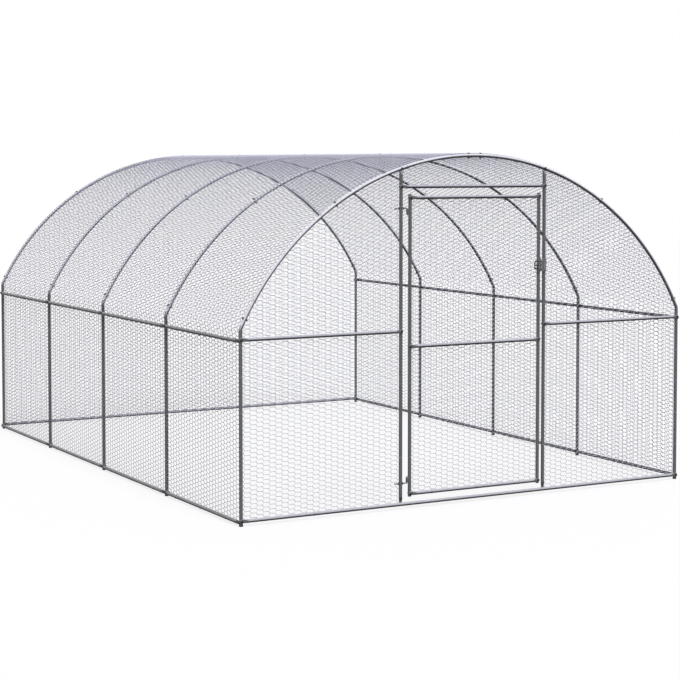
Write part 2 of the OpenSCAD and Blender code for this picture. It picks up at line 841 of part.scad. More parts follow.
// Room for the nuts that stand in from the posts and the arch of an end wall
module end_rooms() {
    for (m = [0, 1])
        mirror([m, 0]) {
            for (z = [base_z, eave_z])
                translate([post_inner_x - nut_room, z - room_w / 2]) square([nut_room + over, room_w]);
            for (a = [post_bolt_a, seam_bolt_a, apex_bolt_a])
                translate([0, arch_z])
                    rotate(a)
                        translate([arch_inner_r - nut_room, -room_w / 2])
                            square([nut_room + over, room_w]);
        }
}

// Room for the hook bolts that stand out from the left door post
module hook_rooms() {
    tail_h = pintle_d + 2 * net_gap;
    nut_h = 2 * (hex_r(pintle_af) + net_gap);
    for (z = [low_hinge_z, top_hinge_z]) {
        translate([-door_net_x - pintle_tail, z - tail_h / 2]) square([pintle_tail + over, tail_h]);
        translate([-door_net_x - pintle_nut_t, z - nut_h / 2]) square([pintle_nut_t + over, nut_h]);
    }
}

// Netting of an end wall between two uprights, from a level up to the arch
module end_net(y, x0, x1, z0) {
    color(wire)
        translate([0, y, 0])
            rotate([90, 0, 0])
                linear_extrude(height = net_t, center = true)
                    difference() {
                        end_outline(x0, x1, z0, 0);
                        intersection() {
                            translate([x0, z0]) mesh_gaps(x1 - x0, apex_h - z0);
                            end_outline(x0, x1, z0, edge_w);
                        }
                        end_rooms();
                        if (y < 0)
                            hook_rooms();
                    }
}

module door_net() {
    x0 = hinge_stile_x + tube_r + net_gap;
    x1 = latch_stile_x - tube_r - net_gap;
    color(wire)
        translate([x0, front_y, low_rail_z])
            rotate([90, 0, 0])
                linear_extrude(height = net_t, center = true)
                    net_sheet(x1 - x0, top_rail_z - low_rail_z);
}

for (s = sides)
    for (i = [1 : arch_count])
        post(s, i);
for (i = [1 : arch_count])
    arch(i);
foot_caps();
apex_sleeves();
arch_bolts();
arch_nuts();
side_rails("left", base_z);  // base_rails_left
side_rails("right", base_z);  // base_rails_right
side_rails("left", eave_z);  // eave_rails_left
side_rails("right", eave_z);  // eave_rails_right
front_base_rail();
rear_base_rail();
front_rail(-half_w, -door_post_x, front_eave_z);  // front_eave_rail_left
front_rail(door_post_x, half_w, front_eave_z);  // front_eave_rail_right
rail_bolts();
rail_nuts();
spacer_washers();
door_post(-1);  // door_post_left
door_post(1);  // door_post_right
door_header();
doorway_bolts();
doorway_nuts();
hinge_hooks();
hinge_nuts();
stile(hinge_stile_x);  // door_stile_hinge
stile(latch_stile_x);  // door_stile_latch
door_rail(top_rail_z);  // door_rail_top
door_rail(mid_rail_z);  // door_rail_middle
door_rail(low_rail_z);  // door_rail_bottom
stile_plugs();
door_bolts();
door_nuts();
hinge_sleeves();
latch_plate();
latch_fork();
latch_keeper();
plate_screws(latch_stile_x);  // latch_screws
plate_screws(door_post_x);  // keeper_screws
roof_net();
side_net("left");  // side_net_left
side_net("right");  // side_net_right
end_net(-front_y, -post_inner_x, post_inner_x, front_base_z);  // rear_net
end_net(front_y, -post_inner_x, -door_net_x, front_base_z);  // front_net_left
end_net(front_y, door_net_x, post_inner_x, front_base_z);  // front_net_right
end_net(front_y, -top_net_x, top_net_x, header_z);  // front_net_top
door_net();
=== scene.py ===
# Walk-in chicken run: smooth tubes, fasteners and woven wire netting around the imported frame
import json
import math

import bpy
import numpy as np
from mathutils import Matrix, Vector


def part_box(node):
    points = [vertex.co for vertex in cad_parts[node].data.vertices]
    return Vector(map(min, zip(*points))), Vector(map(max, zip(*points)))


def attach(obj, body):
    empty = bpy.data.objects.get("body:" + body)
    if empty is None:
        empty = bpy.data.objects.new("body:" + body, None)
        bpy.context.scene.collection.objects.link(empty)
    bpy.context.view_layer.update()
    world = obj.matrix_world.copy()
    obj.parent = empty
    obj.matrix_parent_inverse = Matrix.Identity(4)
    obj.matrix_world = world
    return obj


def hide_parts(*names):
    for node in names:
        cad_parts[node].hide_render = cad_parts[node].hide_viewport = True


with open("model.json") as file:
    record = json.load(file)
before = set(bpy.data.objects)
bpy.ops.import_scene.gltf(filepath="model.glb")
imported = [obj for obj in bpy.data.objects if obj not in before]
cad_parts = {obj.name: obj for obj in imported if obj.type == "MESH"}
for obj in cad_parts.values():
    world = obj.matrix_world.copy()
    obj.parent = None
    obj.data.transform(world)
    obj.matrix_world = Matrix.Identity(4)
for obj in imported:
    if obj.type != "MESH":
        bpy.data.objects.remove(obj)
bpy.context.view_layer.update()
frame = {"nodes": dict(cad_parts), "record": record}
nodes = frame["nodes"]
print("frame loaded:", len(nodes), "nodes")

# Driving sizes of the run, in metres, with the corner post's foot taken from the frame
run = {
    "apexHeight": 1.98,
    "bendHeight": 1.06,
    "bendRadius": 0.06,
    "bays": 4,
    "tubeRadius": 0.010,
    "baseHeight": 0.023,
    "eaveHeight": 0.994,
    "railStep": 0.006,
    "doorPostX": 0.485,
    "headerHeight": 1.806,
}
halfWidth, frontY = frame["record"]["mounts"][0]["pos_m"][:2]
rise = run["apexHeight"] - run["bendHeight"]
archRadius = (halfWidth ** 2 + rise ** 2) / (2 * rise)
archZ = run["apexHeight"] - archRadius
eaveAngle = math.acos(halfWidth / archRadius)
bayLength = -2 * frontY / run["bays"]
tubeRadius = run["tubeRadius"]
endBase = run["baseHeight"] + run["railStep"]
archYs = frontY + bayLength * np.arange(run["bays"] + 1)
metalCrease, softCrease = 35, 50               # angles in degrees past which an edge is drawn sharp
tubeSides, rodSides, turnRings = 24, 16, 7     # points round a tube or a rod, rings of a quarter turn


def meshPiece(name, parts, finish, body, slot, *replaced, crease=None):
    # Parts are pairs of points, as rows of x, y, z, and face arrays, each of one corner count
    offset, points, byCount = 0, [], {}
    for partPoints, faceSets in parts:
        points.append(partPoints)
        for faces in faceSets:
            byCount.setdefault(faces.shape[1], []).append(faces + offset)
        offset += len(partPoints)
    points = np.concatenate(points)
    faceSets = [np.concatenate(faces) for faces in byCount.values()]
    corners = np.concatenate([faces.ravel() for faces in faceSets]).astype(np.int32)
    sizes = np.concatenate([np.full(len(faces), faces.shape[1]) for faces in faceSets])
    starts = (np.cumsum(sizes) - sizes).astype(np.int32)
    mesh = bpy.data.meshes.new(name)
    mesh.vertices.add(len(points))
    mesh.vertices.foreach_set("co", points.astype(np.float32).ravel())
    mesh.loops.add(len(corners))
    mesh.loops.foreach_set("vertex_index", corners)
    mesh.polygons.add(len(sizes))
    mesh.polygons.foreach_set("loop_start", starts)
    mesh.polygons.foreach_set("use_smooth", np.ones(len(sizes), bool))
    mesh.update(calc_edges=True)
    mesh.validate()
    if crease:
        mesh.set_sharp_from_angle(angle=math.radians(crease))
    mesh.materials.append(finish)
    piece = bpy.data.objects.new(name, mesh)
    bpy.context.scene.collection.objects.link(piece)
    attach(piece, body)
    if replaced:
        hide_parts(*replaced)
    return int((sizes - 2).sum())


def ringFaces(rings, sides, looped=False):
    # Quads between neighbouring rings, with a flat face at each end unless the rings close in a loop
    first = np.arange(rings if looped else rings - 1)[:, None] * sides
    second = (first + sides) % (rings * sides)
    j = np.arange(sides)[None, :]
    k = (j + 1) % sides
    quads = np.stack([first + j, first + k, second + k, second + j], -1).reshape(-1, 4)
    ends = np.stack([np.arange(sides)[::-1], (rings - 1) * sides + np.arange(sides)])
    return [quads] if looped else [quads, ends]


def sweep(centres, tangents, up, wide, thick, square=2.0, sides=tubeSides):
    # Rings square to a path: wide * cos(a) across it and thick * sin(a) up, where the waves are raised to
    # 2 / square to press a round section into a flat one. A straight path has one tangent for all rings.
    around = np.arange(sides)[None, :] * 2 * np.pi / sides
    wide, thick, square = (np.broadcast_to(size, (len(centres),))[:, None] for size in (wide, thick, square))
    flat, tall = (np.sign(wave) * np.abs(wave) ** (2 / square) for wave in (np.cos(around), np.sin(around)))
    across = np.cross(up, tangents)
    points = centres[:, None, :] + (wide * flat)[..., None] * across[:, None, :]
    points = points + (thick * tall)[..., None] * np.array(up, float)
    return points.reshape(-1, 3), ringFaces(len(centres), sides)


def turned(origins, axes, profile, sides=12, looped=False):
    # Rings about each axis from rows of height, radius and roundness: at roundness 0 every other point is
    # drawn in by cos(30) to make a hexagon of twelve points, at 1 the ring is round
    origins, axes = np.array(origins, float), np.array(axes, float)
    steep = 0.9    # a steeper axis is crossed with x, any other with z
    helper = np.where(np.abs(axes[:, 2:]) < steep, [[0.0, 0.0, 1.0]], [[1.0, 0.0, 0.0]])
    first = np.cross(helper, axes)
    first /= np.linalg.norm(first, axis=1)[:, None]
    second = np.cross(axes, first)
    height, radius, roundness = np.array(profile, float).T
    around = np.arange(sides) * 2 * np.pi / sides
    drawn = math.cos(math.pi / 6) + (1 - math.cos(math.pi / 6)) * roundness
    reach = radius[:, None] * np.where(np.arange(sides) % 2, drawn[:, None], 1.0)
    spoke = (np.cos(around)[None, :, None] * first[:, None, :]
             + np.sin(around)[None, :, None] * second[:, None, :])
    points = (origins[:, None, None, :] + height[None, :, None, None] * axes[:, None, None, :]
              + reach[None, :, :, None] * spoke[:, None, :, :])
    copies = np.arange(len(origins))[:, None, None] * len(height) * sides
    faceSets = [(faces[None] + copies).reshape(-1, faces.shape[1])
                for faces in ringFaces(len(height), sides, looped)]
    return points.reshape(-1, 3), faceSets


def smoothStep(share):
    # 3 x^2 - 2 x^3, level at both ends
    return share * share * (3 - 2 * share)


# Zinc bloom: flat crystals a few millimetres wide and cloudy oxide over them, with painted shade that darkens
# the zinc on faces that look sideways or down
bloomAndShadeMix = {
    "cloudDetail": 5,
    "cloudRoughness": 0.6,
    "cloudShare": 0.6,         # the rest of the pattern is crystals
    "contrast": (0.25, 0.75),  # values of the pattern that come out dull and pale
    # painted shade: tints by the height of the face's normal, from straight down at -1 to straight up at 1
    "facing": ((-0.4, (0.12, 0.12, 0.12)), (0.0, (0.32, 0.325, 0.295)), (0.2, (1.0, 1.0, 1.0))),
}


def makeZincBloomAndShade():
    tree = bpy.data.node_groups.new("zincBloom", "ShaderNodeTree")
    sockets = {
        "INPUT": {"Pale": "Color", "Dull": "Color", "Shade": "Float", "Crystal Scale": "Float",
                  "Cloud Scale": "Float", "Smooth": "Float", "Rough": "Float"},
        "OUTPUT": {"Color": "Color", "Roughness": "Float", "Height": "Float"},
    }
    for direction, kinds in sockets.items():
        for name, kind in kinds.items():
            tree.interface.new_socket(name=name, in_out=direction, socket_type="NodeSocket" + kind)
    new, link = tree.nodes.new, tree.links.new
    given = new("NodeGroupInput")
    result = new("NodeGroupOutput")
    place = new("ShaderNodeTexCoord")
    crystals = new("ShaderNodeTexVoronoi")
    clouds = new("ShaderNodeTexNoise")
    clouds.inputs["Detail"].default_value = bloomAndShadeMix["cloudDetail"]
    clouds.inputs["Roughness"].default_value = bloomAndShadeMix["cloudRoughness"]
    # Sockets 2 and 3 of a mix are its numbers, 6 and 7 its colours
    mask = new("ShaderNodeMix")
    mask.inputs[0].default_value = bloomAndShadeMix["cloudShare"]
    tone = new("ShaderNodeMix")
    tone.data_type = "RGBA"
    split = new("ShaderNodeSeparateXYZ")
    level = new("ShaderNodeMapRange")
    level.inputs["From Min"].default_value = -1
    # Painted shade: a ramp on the height of the object-space normal darkens faces that are level or look down
    down = new("ShaderNodeValToRGB")
    stops = down.color_ramp.elements
    stops.new(0.5)
    for stop, (height, color) in zip(stops, bloomAndShadeMix["facing"]):
        stop.position = (height + 1) / 2
        stop.color = (*color, 1)
    # The ramp's painted shade multiplies the bloom's tone, as strongly as the Shade input says
    paintedShadeMix = new("ShaderNodeMix")
    paintedShadeMix.data_type = "RGBA"
    paintedShadeMix.blend_type = "MULTIPLY"
    rough = new("ShaderNodeMapRange")
    spread = new("ShaderNodeMapRange")
    for end, value in zip(("From Min", "From Max"), bloomAndShadeMix["contrast"]):
        spread.inputs[end].default_value = value
    link(place.outputs["Object"], crystals.inputs["Vector"])
    link(place.outputs["Object"], clouds.inputs["Vector"])
    link(given.outputs["Crystal Scale"], crystals.inputs["Scale"])
    link(given.outputs["Cloud Scale"], clouds.inputs["Scale"])
    link(crystals.outputs["Color"], mask.inputs[2])
    link(clouds.outputs["Fac"], mask.inputs[3])
    link(mask.outputs[0], spread.inputs["Value"])
    link(spread.outputs["Result"], tone.inputs[0])
    link(given.outputs["Dull"], tone.inputs[6])
    link(given.outputs["Pale"], tone.inputs[7])
    link(spread.outputs["Result"], rough.inputs["Value"])
    link(given.outputs["Rough"], rough.inputs["To Min"])
    link(given.outputs["Smooth"], rough.inputs["To Max"])
    link(place.outputs["Normal"], split.inputs[0])
    link(split.outputs["Z"], level.inputs["Value"])
    link(level.outputs["Result"], down.inputs["Fac"])
    link(given.outputs["Shade"], paintedShadeMix.inputs[0])
    link(tone.outputs[2], paintedShadeMix.inputs[6])
    link(down.outputs["Color"], paintedShadeMix.inputs[7])
    link(paintedShadeMix.outputs[2], result.inputs["Color"])
    link(rough.outputs["Result"], result.inputs["Roughness"])
    link(mask.outputs[0], result.inputs["Height"])
    return tree


zincBloom = makeZincBloomAndShade()


def makeZinc(name, look):
    finish = bpy.data.materials.new(name)
    finish.use_nodes = True
    tree = finish.node_tree
    shader = tree.nodes["Principled BSDF"]
    shader.inputs["Metallic"].default_value = look["metallic"]
    shader.inputs["Specular IOR Level"].default_value = look["specular"]
    bloomAndShade = tree.nodes.new("ShaderNodeGroup")
    bloomAndShade.node_tree = zincBloom
    values = {
        "Pale": (*look["pale"], 1), "Dull": (*look["dull"], 1), "Shade": look["shade"],
        "Crystal Scale": 1 / look["crystal"], "Cloud Scale": 1 / look["cloud"],
        "Smooth": look["smooth"], "Rough": look["rough"],
    }
    for socket, value in values.items():
        bloomAndShade.inputs[socket].default_value = value
    bump = tree.nodes.new("ShaderNodeBump")
    bump.inputs["Strength"].default_value = look["bump"]
    bump.inputs["Distance"].default_value = look["depth"]
    tree.links.new(bloomAndShade.outputs["Color"], shader.inputs["Base Color"])
    tree.links.new(bloomAndShade.outputs["Roughness"], shader.inputs["Roughness"])
    tree.links.new(bloomAndShade.outputs["Height"], bump.inputs["Height"])
    tree.links.new(bump.outputs["Normal"], shader.inputs["Normal"])
    return finish


# Sizes of crystals and clouds in metres; the shade is how strongly the painted shade darkens faces that look
# down
tubeSkin = {
    "metallic": 0.0, "specular": 0.05, "crystal": 0.007, "cloud": 0.05, "smooth": 0.42, "rough": 0.58,
    "bump": 0.15, "depth": 0.0004,
}
hardwareSkin = {"cloud": 0.012, "smooth": 0.35, "rough": 0.5, "bump": 0.1, "depth": 0.0002}
finishes = {
    # The arches get a paler copy of the same galvanised zinc: painted highlight
    "archTube": {"pale": (0.95, 0.95, 0.99), "dull": (0.86, 0.86, 0.90), "shade": 1.0, **tubeSkin},
    # The side rails get a darker copy of the same galvanised zinc: painted shade
    "sideTube": {"pale": (0.42, 0.42, 0.425), "dull": (0.34, 0.34, 0.345), "shade": 0.8, **tubeSkin},
    "galvanisedTube": {"pale": (0.65, 0.65, 0.69), "dull": (0.55, 0.55, 0.585), "shade": 1.0, **tubeSkin},
    # Bolts, nuts, washers and the latch fork: zinc darkened to near black, partly painted shade and painted
    # dark reflection
    "darkZinc": {
        "pale": (0.08, 0.08, 0.082), "dull": (0.04, 0.04, 0.041), "shade": 0.3,
        "metallic": 0.1, "specular": 0.2, "crystal": 0.002, **hardwareSkin,
    },
    "plateZinc": {
        "pale": (0.46, 0.46, 0.47), "dull": (0.28, 0.28, 0.29), "shade": 0.4,
        "metallic": 0.15, "specular": 0.3, "crystal": 0.004, **hardwareSkin,
    },
    "netWire": {
        "pale": (0.83, 0.83, 0.95), "dull": (0.71, 0.71, 0.81), "shade": 0.75,
        "metallic": 0.0, "specular": 0.03, "crystal": 0.004, "cloud": 0.15, "smooth": 0.4, "rough": 0.55,
        "bump": 0.05, "depth": 0.0001,
    },
    "capPlastic": {
        "pale": (0.060, 0.060, 0.060), "dull": (0.035, 0.035, 0.036), "shade": 0.2,
        "metallic": 0.0, "specular": 0.4, "crystal": 0.0012, "cloud": 0.02, "smooth": 0.45, "rough": 0.6,
        "bump": 0.2, "depth": 0.0002,
    },
}
material = {name: makeZinc(name, look) for name, look in finishes.items()}
slotMaterial = {
    "galvanised_tube": material["galvanisedTube"],
    "zinc_hardware": material["darkZinc"],
    "net_wire": material["netWire"],
    "end_cap": material["capPlastic"],
}
for part in frame["record"]["subparts"]:
    plate = part["node"] in ("latch_plate", "latch_keeper")
    nodes[part["node"]].data.materials.clear()
    nodes[part["node"]].data.materials.append(
        material["plateZinc"] if plate else slotMaterial[part["material_slot"]])
print("finishes made:", len(material))


def metalPiece(name, parts, look, body, node):
    # A piece of tube or of hardware in the place of one node
    slot = "galvanised_tube" if look.endswith("Tube") else "zinc_hardware"
    return meshPiece(name, parts, material[look], body, slot, node, crease=metalCrease)


# Posts and arches: round tubes whose ends are chamfered where they butt, with reduced ends inside the
# next tube
tube = {
    "footZ": 0.003,
    "spigot": 0.080,
    "spigotRadius": 0.0087,
    "spigotRings": 4,
    "bendRings": 9,
    "jointGap": 0.0004,
    "chamfer": 0.0006,
    "step": 0.045,         # length of arch between two rings
}
bendX = halfWidth - run["bendRadius"]
bendZ = archZ + math.sqrt((archRadius - run["bendRadius"]) ** 2 - bendX ** 2)
archStart = math.acos(bendX / (archRadius - run["bendRadius"]))
seamAngle = (math.pi / 2 + archStart) / 2
flatY = np.array([0.0, 1.0, 0.0])


def onArch(angles, y, sign):
    # Points of the arch's centre line, and the way along it as the angle grows
    x, z = sign * archRadius * np.cos(angles), archZ + archRadius * np.sin(angles)
    centres = np.stack([x, 0 * angles + y, z], -1)
    tangents = np.stack([-sign * np.sin(angles), 0 * angles, np.cos(angles)], -1)
    return centres, tangents


def archTube(start, end, y, sign, spigot):
    # Rings along the arch from one angle to another, after a reduced end if there is one
    edge = tube["chamfer"] / archRadius
    steps = max(round((end - start) * archRadius / tube["step"]), 2)
    middle = np.linspace(start, end, steps + 1)[1:-1]
    angles = np.concatenate([[start, start + edge], middle, [end - edge, end]])
    radii = np.full(len(angles), tubeRadius)
    radii[[0, -1]] -= tube["chamfer"]
    if spigot:
        rings = tube["spigotRings"]
        angles = np.concatenate([np.linspace(start - tube["spigot"] / archRadius, start, rings), angles])
        radii = np.concatenate([np.full(rings, tube["spigotRadius"]), radii])
    centres, tangents = onArch(angles, y, sign)
    return sweep(centres, tangents, flatY, radii, radii)


def postTube(y, sign):
    # A straight leg, a bend of a few rings and the reduced end inside the arch
    turn = np.linspace(0, archStart, tube["bendRings"])
    edge = tube["chamfer"] / run["bendRadius"]
    turn = np.concatenate([turn[:-1], [archStart - edge, archStart]])
    reach = run["bendRadius"]
    bend = np.stack([sign * (bendX + reach * np.cos(turn)), 0 * turn + y, bendZ + reach * np.sin(turn)], -1)
    bendWay = np.stack([-sign * np.sin(turn), 0 * turn, np.cos(turn)], -1)
    rings = tube["spigotRings"]
    tip, tipWay = onArch(np.linspace(archStart, archStart + tube["spigot"] / archRadius, rings), y, sign)
    centres = np.concatenate([[[sign * halfWidth, y, tube["footZ"]]], bend, tip])
    tangents = np.concatenate([[[0, 0, 1]], bendWay, tipWay])
    radii = np.concatenate([np.full(len(turn) + 1, tubeRadius), np.full(rings, tube["spigotRadius"])])
    radii[len(turn)] -= tube["chamfer"]
    return sweep(centres, tangents, flatY, radii, radii)


count = 0
gap = tube["jointGap"] / archRadius
for i, y in enumerate(archYs, 1):
    for side, sign in (("left", -1), ("right", 1)):
        part = postTube(y, sign)
        count += metalPiece(f"post.{side}.{i}", [part], "galvanisedTube", "frame", f"post_{side}_{i}")
    halves = []
    for sign in (-1, 1):
        halves.append(archTube(archStart + gap, seamAngle - gap, y, sign, False))
        halves.append(archTube(seamAngle, math.pi / 2 - gap / 2, y, sign, True))
    count += metalPiece(f"arch.{i}", halves, "archTube", "frame", f"arch_{i}")
print("posts and arches:", count, "triangles")

# Rails: round tubes pressed flat at both ends, where a bolt holds them
rail = {
    "flat": 0.001,         # half the thickness of a pressed end
    "tab": 0.015,
    "taper": 0.030,
    "out": 0.011,          # distance of a rail from the middle of its posts
    "lap": 0.00205,        # room for the flat end underneath, in every other bay
    "square": 6.0,         # squareness of a pressed section, where 2 is round
    "tipAngle": 0.3,       # the rounded tip starts at this angle, in radians
    "tipRings": 6,
    "taperRings": 9,
    "lastRing": 1.5,       # place of one more full ring, in tapers, which keeps the shading of the tube even
}


def pressedEnd():
    # From the rounded tip over the tab to the full round: distance from the bolt, half width, half thickness
    # and squareness of the section, which swells by a smooth step
    tip = np.linspace(rail["tipAngle"], np.pi / 2, rail["tipRings"])
    share = np.append(np.linspace(0, 1, rail["taperRings"]), rail["lastRing"])
    swell = smoothStep(np.minimum(share, 1))
    flat, square = np.full(len(tip), rail["flat"]), np.full(len(tip), rail["square"])
    distance = np.concatenate([-tubeRadius * np.cos(tip), rail["tab"] + rail["taper"] * share])
    wide = np.concatenate([tubeRadius * np.sin(tip), np.full(len(share), tubeRadius)])
    thick = np.concatenate([flat, rail["flat"] + (tubeRadius - rail["flat"]) * swell])
    square = np.concatenate([square, rail["square"] - (rail["square"] - 2) * swell])
    return distance, wide, thick, square


def railTube(start, way, length):
    # The rings of a pressed end, then the same rings mirrored at the far end
    distance, wide, thick, square = pressedEnd()
    along = np.concatenate([distance, length - distance[::-1]])
    way = np.array(way, float)
    up = np.array([way[1], way[0], 0.0])   # the flat ends face square to the rail and to the upright
    both = [np.concatenate([values, values[::-1]]) for values in (wide, thick, square)]
    return sweep(np.array(start) + along[:, None] * way, way[None], up, *both)


def levelRail(name, node, body="frame"):
    # A rail across the run, from bolt to bolt of its node's box
    low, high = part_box(node)
    start = (low.x + tubeRadius, (low.y + high.y) / 2, (low.z + high.z) / 2)
    part = railTube(start, (1, 0, 0), high.x - low.x - 2 * tubeRadius)
    return metalPiece(name, [part], "galvanisedTube", body, node)


count = 0
for side, sign in (("left", -1), ("right", 1)):
    for level in ("base", "eave"):
        tubes = []
        for bay in range(run["bays"]):
            x = sign * (halfWidth + rail["out"] + rail["lap"] * (bay % 2))
            tubes.append(railTube((x, archYs[bay], run[level + "Height"]), (0, 1, 0), bayLength))
        count += metalPiece(f"{level}Rails.{side}", tubes, "sideTube", "frame", f"{level}_rails_{side}")
endRails = {
    "frontBaseRail": "front_base_rail",
    "rearBaseRail": "rear_base_rail",
    "frontEaveRail.left": "front_eave_rail_left",
    "frontEaveRail.right": "front_eave_rail_right",
    "doorHeader": "door_header",
}
for name, node in endRails.items():
    count += levelRail(name, node)
for level in ("top", "middle", "bottom"):
    count += levelRail(f"doorRail.{level}", f"door_rail_{level}", "door")
print("rails:", count, "triangles")

# Door posts: flat foot behind the base rail, flat top set back behind the front arch
doorPost = {
    "back": 0.011,
    "neckDrop": 0.013,     # drop of the flat's lower end below the middle of the arch tube
    "topTaper": 0.006,
    "topStep": 0.009,
    "topHalfWidth": 0.009,
    "topEdge": 0.001,
    "topRings": 7,
    "lastRound": 0.024,    # distance of the last full ring below the flat
}
doorArchAngle = math.acos(run["doorPostX"] / archRadius)
doorArchZ = archZ + archRadius * math.sin(doorArchAngle)


def doorPostTube(x):
    # Up from the foot's pressed end, over a short taper to the flat, then a smooth step back to the arch
    distance, wide, thick, square = pressedEnd()
    neck, top = doorArchZ - doorPost["neckDrop"], doorArchZ + tubeRadius
    share = np.linspace(0, 1, doorPost["topRings"])
    swell = smoothStep(share)
    z = np.concatenate([
        endBase + distance, [neck - doorPost["lastRound"]], neck - doorPost["topTaper"] * (1 - share),
        neck + doorPost["topStep"] * share[1:], [top - doorPost["topEdge"], top]])
    setBack = doorPost["back"] * np.concatenate([swell[1:], [1, 1]])
    y = np.concatenate([np.zeros(len(z) - len(setBack)), setBack])
    flatRings = np.ones(len(setBack))
    slim, flat = doorPost["topHalfWidth"], rail["flat"]
    wide = np.concatenate([wide, [tubeRadius], tubeRadius + (slim - tubeRadius) * swell, slim * flatRings])
    wide[-1] -= doorPost["topEdge"]
    thick = np.concatenate([thick, [tubeRadius], tubeRadius + (flat - tubeRadius) * swell, flat * flatRings])
    square = np.concatenate([square, [2.0], 2 + (rail["square"] - 2) * swell, rail["square"] * flatRings])
    centres = np.stack([0 * z + x, frontY + y, z], -1)
    return sweep(centres, [[0, 0, 1]], flatY, wide, thick, square)


def uprightTube(node):
    # A straight tube as tall as its node's box, chamfered at both ends
    low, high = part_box(node)
    edge = tube["chamfer"]
    z = np.array([low.z, low.z + edge, high.z - edge, high.z])
    centres = np.stack([0 * z + (low.x + high.x) / 2, 0 * z + (low.y + high.y) / 2, z], -1)
    radii = np.array([tubeRadius - edge, tubeRadius, tubeRadius, tubeRadius - edge])
    return sweep(centres, [[0, 0, 1]], flatY, radii, radii)


for side, sign in (("left", -1), ("right", 1)):
    part = doorPostTube(sign * run["doorPostX"])
    metalPiece(f"doorPost.{side}", [part], "galvanisedTube", "frame", f"door_post_{side}")
for side in ("hinge", "latch"):
    part = uprightTube(f"door_stile_{side}")
    metalPiece(f"doorStile.{side}", [part], "galvanisedTube", "door", f"door_stile_{side}")
print("door posts and stiles made")

# Bolts with chamfered hexagon heads, and their nuts
bolt = {
    "shank": 0.0025,
    "flats": 0.012,
    "head": 0.0055,
    "nut": 0.004,
    "tail": 0.007,
    "seat": 0.0001,        # gap under a head or a nut
    "tipShare": 0.75,      # end of a shank, as a share of its radius
    "tipEdge": 0.0007,
    "sideShare": 0.8,      # six-sided part of a head, as a share of its height
    "crownShare": 0.80,    # flat crown of a head, as a share of its radius
    "nutShare": 0.82,      # outer face of a nut, as a share of its radius
    "nutEdge": 0.0008,
    "screwShare": 0.6,     # end of a foot screw, as a share of its radius
    "screwEdge": 0.001,
    "seamReach": 0.040,    # distance of an arch bolt from the end of the tube that it holds
}
headRadius = bolt["flats"] / 2 / math.cos(math.pi / 6)


def headedRod(origins, axes, low, tipShare, tipEdge, seat):
    # A shank with a bevelled end, then a head that is six-sided up to its round crown
    shank, side = bolt["shank"], bolt["sideShare"] * bolt["head"]
    return turned(origins, axes, [
        (low, tipShare * shank, 1), (low + tipEdge, shank, 1), (seat, shank, 1),
        (seat, headRadius, 0), (seat + side, headRadius, 0),
        (seat + bolt["head"], bolt["crownShare"] * headRadius, 1)])


def boltParts(origins, axes, grip):
    # From the tail behind the nut to the head on its seat
    low = -grip - bolt["nut"] - bolt["tail"]
    return headedRod(origins, axes, low, bolt["tipShare"], bolt["tipEdge"], bolt["seat"])


def nutParts(origins, axes, grip):
    # A hexagon as far below the seat as the grip, round at its outer face
    top = -grip - bolt["seat"]
    low = top - bolt["nut"]
    face = bolt["nutShare"] * headRadius
    edge = low + bolt["nutEdge"]
    return turned(origins, axes, [(low, face, 1), (edge, headRadius, 0), (top, headRadius, 0)])


def fasten(name, places, body, screws=()):
    # Places are groups of seats, directions and the grip between a head and its nut; screws have no nuts
    bolts = [boltParts(*group) for group in places]
    metalPiece(f"{name}.bolts", [*bolts, *screws], "darkZinc", body, f"{name}_bolts")
    nuts = [nutParts(*group) for group in places]
    metalPiece(f"{name}.nuts", nuts, "darkZinc", body, f"{name}_nuts")


def footScrews():
    # Short screws from behind, through the feet of the door posts into the base rail
    seats = [[sign * run["doorPostX"], frontY + rail["flat"], endBase] for sign in (-1, 1)]
    return headedRod(seats, [[0, 1, 0]] * 2, -tubeRadius, bolt["screwShare"], bolt["screwEdge"], 0)


reach = bolt["seamReach"] / archRadius
archBoltAngles = np.array([archStart + reach, seamAngle - reach, math.pi / 2 - reach])
archBoltAngles = np.concatenate([archBoltAngles, math.pi - archBoltAngles])
angle = np.tile(archBoltAngles, len(archYs))
y = np.repeat(archYs, len(archBoltAngles))
outward = np.stack([np.cos(angle), 0 * angle, np.sin(angle)], -1)
seats = outward * (archRadius + tubeRadius) + np.stack([0 * y, y, 0 * y + archZ], -1)
fasten("arch", [(seats, outward, 2 * tubeRadius)], "frame")

tabThickness = 2 * rail["flat"]
sideGroups = []
for tabs, ys in ((1, archYs[:1]), (2, archYs[1:])):
    stack = tabs * rail["lap"]
    seats = [[sign * (halfWidth + tubeRadius + stack), y, z]
             for sign in (-1, 1) for y in ys for z in (run["baseHeight"], run["eaveHeight"])]
    ways = [[math.copysign(1, seat[0]), 0, 0] for seat in seats]
    sideGroups.append((seats, ways, 2 * tubeRadius + stack))
frontFace = frontY - tubeRadius - tabThickness
endEave = run["eaveHeight"] + run["railStep"]
frontSeats = [[sign * halfWidth, frontFace, z] for sign in (-1, 1) for z in (endBase, endEave)]
rearSeats = [[sign * halfWidth, -frontFace, endBase] for sign in (-1, 1)]
endGrip = 2 * tubeRadius + tabThickness
endGroups = [(frontSeats, [[0, -1, 0]] * 4, endGrip), (rearSeats, [[0, 1, 0]] * 2, endGrip)]
fasten("rail", sideGroups + endGroups, "frame")

doorwaySeats = [[sign * run["doorPostX"], frontFace, z]
                for sign in (-1, 1) for z in (endEave, run["headerHeight"])]
doorwaySeats += [[sign * run["doorPostX"], frontY - tubeRadius, doorArchZ] for sign in (-1, 1)]
fasten("doorway", [(doorwaySeats, [[0, -1, 0]] * 6, endGrip)], "frame", [footScrews()])

